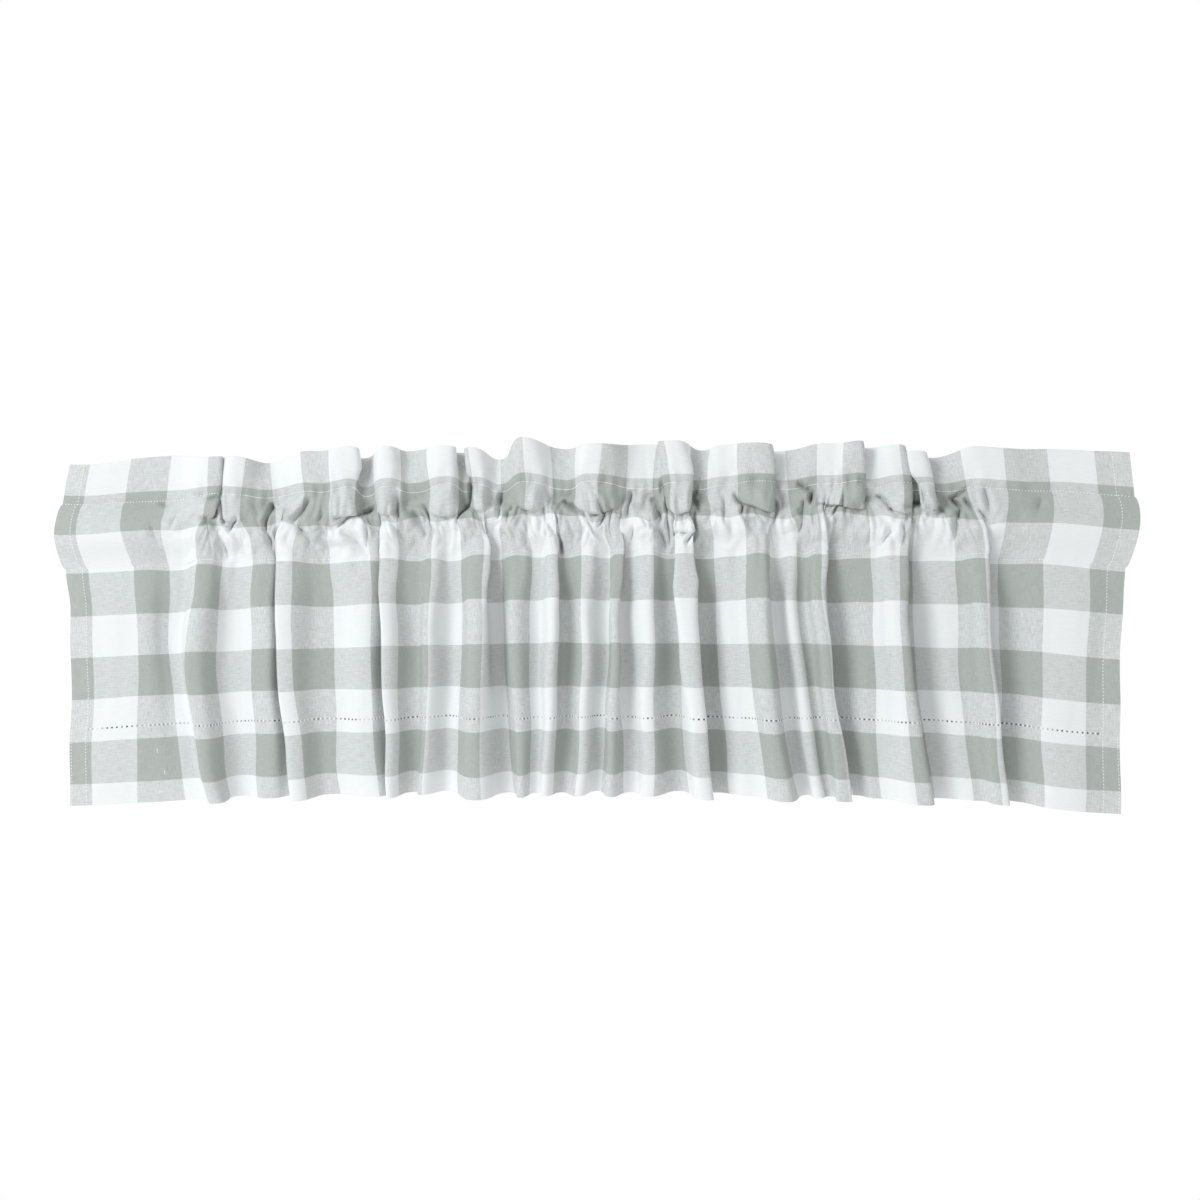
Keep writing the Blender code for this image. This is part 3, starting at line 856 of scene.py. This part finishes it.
def new_material(name, finish):
    """A node material with a finish: its tree, and its shader joined to the output."""
    material = bpy.data.materials.new(name)
    material.use_nodes = True
    tree = material.node_tree
    tree.nodes.clear()
    shader = add_node(tree, "BsdfPrincipled", finish)
    add_node(tree, "OutputMaterial", {"Surface": shader})
    return material, tree, shader


def band(tree, place, middle, width):
    """1 on every other band of a width, 0 between them, with a soft edge. Sizes are in metres."""
    turn = {0: place, 1: np.pi / width, 2: -np.pi * middle / width}
    turn = add_node(tree, "Math", turn, operation="MULTIPLY_ADD")
    wave = add_node(tree, "Math", {0: turn}, operation="COSINE")
    soft = np.pi * YARN_EDGE / width
    inputs = {"Value": wave, "From Min": -soft, "From Max": soft}
    return add_node(tree, "MapRange", inputs, interpolation_type="SMOOTHSTEP")


def streaks(tree, across, drop, swells):
    """Uneven yarns: noise from 0 to 1 with swells of a size across and down, in metres, and a seed."""
    wide, high, seed = swells
    inputs = {
        "X": add_node(tree, "Math", {0: across, 1: wide}, operation="DIVIDE"),
        "Y": add_node(tree, "Math", {0: drop, 1: high}, operation="DIVIDE"),
        "Z": seed,
    }
    vector = add_node(tree, "CombineXYZ", inputs)
    inputs = {"Vector": vector, "Scale": 1.0, "Detail": 1.0}
    return add_node(tree, "TexNoise", inputs).outputs["Fac"]


def yarn_colour(tree, dyed, streak, settings):
    """The colour of a yarn: white, or grey where it is dyed, which takes the dye unevenly."""
    uptake = {0: streak, 1: UNEVEN_DYE, 2: 1.0 - FULL_DYE_STREAK * UNEVEN_DYE}
    uptake = add_node(tree, "Math", uptake, operation="MULTIPLY_ADD")
    uptake = add_node(tree, "Math", {0: uptake, 1: dyed}, operation="MULTIPLY")
    inputs = {0: uptake, MIX_FROM: tuple(settings.white_yarn), MIX_TO: tuple(settings.grey_yarn)}
    return add_node(tree, "Mix", inputs, data_type="RGBA").outputs[MIX_OUT]


def yarn_wave(tree, place):
    """A wave from -1 to 1 with one swell for each yarn as it is drawn."""
    turn = add_node(tree, "Math", {0: place, 1: 2.0 * np.pi / DRAWN_YARN}, operation="MULTIPLY")
    return add_node(tree, "Math", {0: turn}, operation="SINE")


def one_layer(tree, across):
    """1 where the cloth has no side hem, and 0 on both side hems."""
    far = add_node(tree, "Math", {0: CLOTH_WIDTH * METRES, 1: across}, operation="SUBTRACT")
    near = add_node(tree, "Math", {0: across, 1: far}, operation="MINIMUM")
    hem = {"Value": near, "From Min": SIDE_HEM * METRES - YARN_EDGE, "From Max": SIDE_HEM * METRES}
    return add_node(tree, "MapRange", hem, interpolation_type="SMOOTHSTEP")


def check_cloth(settings):
    """Plain-woven cotton, its yarns dyed before weaving: white, grey, and mixed where they cross.

    The eye sees matt cloth with fine uneven streaks along both yarns, strongest in the mixed checks.
    """
    material, tree, shader = new_material("plain_woven_cotton_check", COTTON)
    split = add_node(tree, "SeparateXYZ", {0: add_node(tree, "UVMap", uv_map="cloth")})
    across = split.outputs["X"]
    drop = split.outputs["Y"]
    grey_columns = band(tree, across, 0.0, settings.check_width)
    grey_rows = band(tree, drop, GREY_ROW_MIDDLE * METRES, settings.check_height)
    warp_streak = streaks(tree, across, drop, WARP_STREAK)
    weft_streak = streaks(tree, across, drop, WEFT_STREAK)
    warp = yarn_colour(tree, grey_columns, warp_streak, settings)
    weft = yarn_colour(tree, grey_rows, weft_streak, settings)
    uneven = add_node(tree, "Math", {0: weft_streak, 1: warp_streak}, operation="SUBTRACT")
    # Where the weft lies over the warp: at the crossings, and more of it along its thicker yarns
    weave = {0: yarn_wave(tree, across), 1: yarn_wave(tree, drop)}
    weave = add_node(tree, "Math", weave, operation="MULTIPLY")
    over = add_node(tree, "Math", {0: weave, 1: WEAVE_STRENGTH, 2: EVEN_MIX}, operation="MULTIPLY_ADD")
    over = {0: uneven, 1: STREAK_STRENGTH, 2: over}
    over = add_node(tree, "Math", over, operation="MULTIPLY_ADD", use_clamp=True)
    inputs = {0: over, MIX_FROM: warp, MIX_TO: weft}
    colour = add_node(tree, "Mix", inputs, data_type="RGBA").outputs[MIX_OUT]
    # The weft varies in shade, and a side hem, which lets less light through, looks a little paler
    shade = {0: weft_streak, 1: YARN_SHADE, 2: 1.0 - 0.5 * YARN_SHADE}
    shade = add_node(tree, "Math", shade, operation="MULTIPLY_ADD")
    single = one_layer(tree, across)
    layers = add_node(tree, "MapRange", {"Value": single, "To Min": 1.0, "To Max": SINGLE_SHADE})
    shade = add_node(tree, "Math", {0: shade, 1: layers}, operation="MULTIPLY")
    shaded = add_node(tree, "CombineColor", {0: shade, 1: shade, 2: shade})
    inputs = {0: 1.0, MIX_FROM: colour, MIX_TO: shaded}
    colour = add_node(tree, "Mix", inputs, data_type="RGBA", blend_type="MULTIPLY")
    # The hemstitch's holes are not cut in the cloth: their darkness is painted shadow
    holes = painted_hole_shade(tree, across, drop, settings.hemstitch_pitch)
    holes = add_node(tree, "Math", {0: holes, 1: single}, operation="MULTIPLY")
    inputs = {0: holes, MIX_FROM: colour.outputs[MIX_OUT], MIX_TO: from_hex(HOLE_SHADOW)}
    colour = add_node(tree, "Mix", inputs, data_type="RGBA").outputs[MIX_OUT]
    tree.links.new(colour, shader.inputs["Base Color"])
    height = add_node(tree, "Math", {0: uneven, 1: weave}, operation="ADD")
    bump = add_node(tree, "Bump", {**COTTON_RELIEF, "Height": height})
    tree.links.new(bump.outputs[0], shader.inputs["Normal"])
    return material


def painted_hole_shade(tree, across, drop, pitch):
    """Painted shadow of the small holes that the hemstitch draws open: 1 in a hole that stands wide open.
    """
    turn = 2.0 * np.pi / pitch
    wave = {0: across, 1: turn, 2: -turn * SIDE_HEM * METRES}
    wave = add_node(tree, "Math", wave, operation="MULTIPLY_ADD")
    wave = add_node(tree, "Math", {0: wave}, operation="COSINE")
    shut, wide = HOLE_EDGES
    inputs = {"Value": wave, "From Min": shut, "From Max": wide}
    along = add_node(tree, "MapRange", inputs, interpolation_type="SMOOTHSTEP")
    away = add_node(tree, "Math", {0: drop, 1: HEMSTITCH_DROP * METRES}, operation="SUBTRACT")
    away = add_node(tree, "Math", {0: away}, operation="ABSOLUTE")
    inputs = {"Value": away, "From Min": HOLE_HALF_HEIGHT, "From Max": 0.5 * HOLE_HALF_HEIGHT}
    near = add_node(tree, "MapRange", inputs, interpolation_type="SMOOTHSTEP")
    patchy = streaks(tree, across, drop, HOLE_PATCHES)
    shut, wide = PATCH_EDGES
    inputs = {"Value": patchy, "From Min": shut, "From Max": wide, "To Min": LEAST_OPEN}
    opened = add_node(tree, "MapRange", inputs)
    dark = add_node(tree, "Math", {0: along, 1: near}, operation="MULTIPLY")
    return add_node(tree, "Math", {0: dark, 1: opened}, operation="MULTIPLY")


def sewing_thread():
    """Spun white thread, matt and a little raised, which reads as small bright dashes."""
    material, tree, shader = new_material("spun_sewing_thread", THREAD)
    coordinates = add_node(tree, "TexCoord").outputs["Object"]
    inputs = {"Vector": coordinates, "Scale": FIBRE_SWELLS, "Detail": 1.0}
    fibre = add_node(tree, "TexNoise", inputs).outputs["Fac"]
    dark, light = THREAD_SHADES
    inputs = {0: fibre, MIX_FROM: from_hex(dark), MIX_TO: from_hex(light)}
    colour = add_node(tree, "Mix", inputs, data_type="RGBA").outputs[MIX_OUT]
    tree.links.new(colour, shader.inputs["Base Color"])
    bump = add_node(tree, "Bump", {**THREAD_RELIEF, "Height": fibre})
    tree.links.new(bump.outputs[0], shader.inputs["Normal"])
    return material


def finish_piece(piece, nodes=()):
    """Let a piece ride with the valance. Cloth stands for its nodes, which are hidden."""
    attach(piece, "root")
    if nodes:
        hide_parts(*nodes)


# Stitches


def stitch_shape(length, width, height):
    """One stitch: a small rounded dash that lies along X, with Z away from the cloth."""
    bm = bmesh.new()
    size = Matrix.Diagonal((length, width, height, 1.0))
    lying = Matrix.Rotation(np.pi / 2.0, 4, "Y")
    bmesh.ops.create_uvsphere(
        bm, u_segments=STITCH_SIDES, v_segments=STITCH_RINGS, radius=0.5, matrix=size @ lying
    )
    mesh = bpy.data.meshes.new("stitch_shape")
    bm.to_mesh(mesh)
    bm.free()
    return mesh


def line_on_cloth(drops, places):
    """Points along a line on the cloth, with the way down the cloth and the way across it.

    One of the two is a single value, so the line runs across at one drop or down at one place.
    """
    if len(drops) == 1:
        above, here, below = hung([drops[0] - NEAR, drops[0], drops[0] + NEAR], places)
        return here, below - above, np.gradient(here, axis=0)
    side = hung(drops, np.array([places[0] - NEAR, places[0], places[0] + NEAR]))
    return side[:, 1], np.gradient(side[:, 1], axis=0), side[:, 2] - side[:, 0]


def add_stitches(bm, shape, drops, places, down=False):
    """Lay a stitch at each point of a line on the cloth, along it or, if down is set, down the cloth."""
    points, falls, runs = line_on_cloth(drops, places)
    for point, fall, run in zip(points, falls, runs):
        out = Vector(np.cross(fall, run)).normalized()
        way = Vector(fall if down else run).normalized()
        turn = Matrix((way, out.cross(way), out)).transposed().to_4x4()
        place = Matrix.Translation(Vector(point)) @ turn
        shape.transform(place)
        bm.from_mesh(shape)
        shape.transform(place.inverted())


def sew(name, thread, shape, rows, down=False):
    """One piece of like stitches along rows, each of which has its drops and its places."""
    bm = bmesh.new()
    for drops, places in rows:
        add_stitches(bm, shape, drops, places, down)
    finish_piece(put_in_scene(name, bm, thread))


# Stage


def white_room(strength):
    """A plain white room, which the camera sees at full white and which lights at a strength."""
    world = bpy.data.worlds.new("white_room")
    world.use_nodes = True
    tree = world.node_tree
    tree.nodes.clear()
    seen = add_node(tree, "LightPath").outputs["Is Camera Ray"]
    strength = add_node(tree, "MapRange", {"Value": seen, "To Min": strength})
    room = add_node(tree, "Background", {"Color": (1.0, 1.0, 1.0, 1.0), "Strength": strength})
    add_node(tree, "OutputWorld", {"Surface": room})
    return world


def pale_floor():
    """A matt white studio floor that glows a little, so that it shows no dark rim."""
    material, _, shader = new_material("matt_white_floor", FLOOR)
    shader.inputs["Base Color"].default_value = from_hex(FLOOR_COLOUR)
    return material


def face(thing, place):
    """Stand a lamp or the camera at a place, turned to the middle of the valance."""
    thing.location = place
    thing.rotation_euler = (Vector(AIM) - Vector(place)).to_track_quat("-Z", "Y").to_euler()


def add_lamp(name, place, power):
    """A soft square lamp."""
    light = bpy.data.lights.new(name, "AREA")
    light.energy = power
    light.size = LAMP_SIZE
    light.color = LAMP_COLOUR
    lamp = bpy.data.objects.new(name, light)
    bpy.context.scene.collection.objects.link(lamp)
    face(lamp, place)


# Settings and steps


class ClothSettings(bpy.types.PropertyGroup):
    """The cut cloth and its yarns."""

    check_width: bpy.props.FloatProperty(
        name="Check width",
        description="Width of one check along the valance",
        default=CHECK_WIDTH * METRES,
        unit="LENGTH",
    )
    check_height: bpy.props.FloatProperty(
        name="Check height",
        description="Height of one check down the valance",
        default=CHECK_HEIGHT * METRES,
        unit="LENGTH",
    )
    thickness: bpy.props.FloatProperty(
        name="Hem thickness",
        description="Thickness of the layers of cloth where both hems meet",
        default=0.0013,
        unit="LENGTH",
    )
    hemstitch_pitch: bpy.props.FloatProperty(
        name="Hemstitch pitch",
        description="Distance from one hole of the drawn-thread line to the next",
        default=HEMSTITCH_PITCH * METRES,
        unit="LENGTH",
    )
    white_yarn: bpy.props.FloatVectorProperty(
        name="White yarn",
        description="Colour of the undyed yarn",
        default=from_hex("#E7EAEB"),
        size=4,
        subtype="COLOR",
    )
    grey_yarn: bpy.props.FloatVectorProperty(
        name="Grey yarn",
        description="Colour of the dyed yarn",
        default=from_hex("#A3A9A4"),
        size=4,
        subtype="COLOR",
    )


class StitchSettings(bpy.types.PropertyGroup):
    """The sewing thread and its stitches."""

    pitch: bpy.props.FloatProperty(
        name="Pitch",
        description="Distance from one stitch to the next along the cloth",
        default=0.0034,
        unit="LENGTH",
    )
    length: bpy.props.FloatProperty(
        name="Length",
        description="Length of a stitch on the face of the cloth",
        default=0.0021,
        unit="LENGTH",
    )
    thread: bpy.props.FloatProperty(
        name="Thread",
        description="Thickness of the thread, drawn a little stout so that it shows",
        default=0.0009,
        unit="LENGTH",
    )


class StageSettings(bpy.types.PropertyGroup):
    """The room around the valance."""

    room_light: bpy.props.FloatProperty(
        name="Room light",
        description="Strength of the even light from all sides",
        default=0.7,
    )
    key_light: bpy.props.FloatProperty(
        name="Key light",
        description="Power of the soft lamp at the front, to the left",
        default=92.0,
        unit="POWER",
    )
    fill_light: bpy.props.FloatProperty(
        name="Fill light",
        description="Power of the soft lamp behind, to the right",
        default=70.0,
        unit="POWER",
    )


class VALANCE_OT_cloth(bpy.types.Operator):
    """Hang the cloth: the skirt, the gathered front of the pocket, and the heading with the back"""

    bl_idname = "valance.cloth"
    bl_label = "Cloth"

    def execute(self, context):
        settings = context.scene.valance_cloth
        material = check_cloth(settings)
        back = SEAM_DROP - BACK_DROP
        sheets = (
            ("gathered_pocket", pocket_drops(), POCKET_COLUMNS, ("rod_pocket",), SEAM_DROP),
            ("frilled_heading", heading_drops(), CLOTH_COLUMNS, ("heading", "rod_pocket"), back),
            ("folded_skirt", skirt_drops(), CLOTH_COLUMNS, ("skirt",), HEM_DROP - SEAM_DROP),
        )
        for name, drops, column_count, nodes, length in sheets:
            piece = hang_cloth(name, drops, column_count, material)
            thicken(piece, settings.thickness)
            finish_piece(piece, nodes)
        return {"FINISHED"}


class VALANCE_OT_stitches(bpy.types.Operator):
    """Sew the rows of stitches that hold the pocket and the hems"""

    bl_idname = "valance.stitches"
    bl_label = "Stitches"

    def execute(self, context):
        settings = context.scene.valance_stitches
        thread = sewing_thread()
        pitch = settings.pitch / METRES
        shape = stitch_shape(settings.length, settings.thread, settings.thread)
        across = np.arange(pitch, CLOTH_WIDTH - pitch, pitch)
        upper = (-HAIR, BACK_DROP + HAIR)
        sew("upper_stitches", thread, shape, [([drop], across) for drop in upper])
        thin = SUNK_SHARE * settings.thread
        sunk = stitch_shape(settings.length, thin, thin)
        lower = (SEAM_DROP, BACK_DROP - SEAM_DROP)
        sew("lower_stitches", thread, sunk, [([drop], across) for drop in lower])
        down = np.arange(FIRST_STITCH - HEADING_RISE, HEM_DROP - LAST_STITCH, pitch)
        inner = (SIDE_HEM - HEM_STITCHES, CLOTH_WIDTH - SIDE_HEM + HEM_STITCHES)
        outer = (EDGE_STITCHES, CLOTH_WIDTH - EDGE_STITCHES)
        rows = [(down, [place]) for place in inner]
        rows += [(down[down > HEMSTITCH_DROP], [place]) for place in outer]
        sew("side_hem_stitches", thread, shape, rows, down=True)
        return {"FINISHED"}


class VALANCE_OT_hemstitch(bpy.types.Operator):
    """Bundle the threads of the drawn-thread line above the hem, and leave two thread ends"""

    bl_idname = "valance.hemstitch"
    bl_label = "Hemstitch"

    def execute(self, context):
        pitch = context.scene.valance_cloth.hemstitch_pitch / METRES
        thread = sewing_thread()
        bundles = np.arange(SIDE_HEM + 0.5 * pitch, CLOTH_WIDTH - SIDE_HEM, pitch)
        rows = [([HEMSTITCH_DROP], bundles)]
        sew("hemstitch_bundles", thread, stitch_shape(*BUNDLE_SIZE), rows, down=True)
        rows = [(np.array([drop, drop + NEAR]), [place]) for place, drop in THREAD_ENDS]
        sew("thread_ends", thread, stitch_shape(*THREAD_END_SIZE), rows, down=True)
        return {"FINISHED"}


class VALANCE_OT_stage(bpy.types.Operator):
    """Set up the pale floor, the soft light and the camera"""

    bl_idname = "valance.stage"
    bl_label = "Stage"

    def execute(self, context):
        scene = context.scene
        settings = scene.valance_stage
        scene.view_settings.view_transform = "Standard"
        scene.world = white_room(settings.room_light)
        bm = bmesh.new()
        bmesh.ops.create_circle(bm, cap_ends=True, segments=FLOOR_SIDES, radius=FLOOR_RADIUS)
        bmesh.ops.translate(bm, verts=bm.verts, vec=(0.0, 0.0, FLOOR_HEIGHT))
        floor = put_in_scene("floor", bm, pale_floor())
        add_lamp("key_light", KEY_PLACE, settings.key_light)
        add_lamp("fill_light", FILL_PLACE, settings.fill_light)
        camera = bpy.data.cameras.new("camera")
        camera.lens = LENS
        eye = bpy.data.objects.new("camera", camera)
        scene.collection.objects.link(eye)
        face(eye, EYE)
        scene.camera = eye
        return {"FINISHED"}


class VALANCE_PT_sidebar(bpy.types.Panel):
    """The valance's pieces and its stage, in the order in which they are made"""

    bl_idname = "VALANCE_PT_sidebar"
    bl_label = "Window Valance"
    bl_space_type = "VIEW_3D"
    bl_region_type = "UI"
    bl_category = "Valance"

    def draw(self, context):
        steps = (
            (context.scene.valance_cloth, ("valance.cloth", "valance.hemstitch")),
            (context.scene.valance_stitches, ("valance.stitches",)),
            (context.scene.valance_stage, ("valance.stage",)),
        )
        for settings, operators in steps:
            box = self.layout.box()
            for name in settings.__annotations__:
                box.prop(settings, name)
            for operator in operators:
                box.operator(operator)


SETTINGS = {
    "valance_cloth": ClothSettings,
    "valance_stitches": StitchSettings,
    "valance_stage": StageSettings,
}

CLASSES = (
    ClothSettings,
    StitchSettings,
    StageSettings,
    VALANCE_OT_cloth,
    VALANCE_OT_stitches,
    VALANCE_OT_hemstitch,
    VALANCE_OT_stage,
    VALANCE_PT_sidebar,
)


def register():
    """Add the settings, the operators and the panel to Blender."""
    for kind in CLASSES:
        bpy.utils.register_class(kind)
    for name, kind in SETTINGS.items():
        setattr(bpy.types.Scene, name, bpy.props.PointerProperty(type=kind))


def unregister():
    """Take them out again."""
    for name in SETTINGS:
        delattr(bpy.types.Scene, name)
    for kind in reversed(CLASSES):
        bpy.utils.unregister_class(kind)


def main():
    """Build the valance and its stage."""
    register()
    bpy.ops.valance.cloth()
    bpy.ops.valance.stitches()
    bpy.ops.valance.hemstitch()
    bpy.ops.valance.stage()


if __name__ == "__main__":
    main()
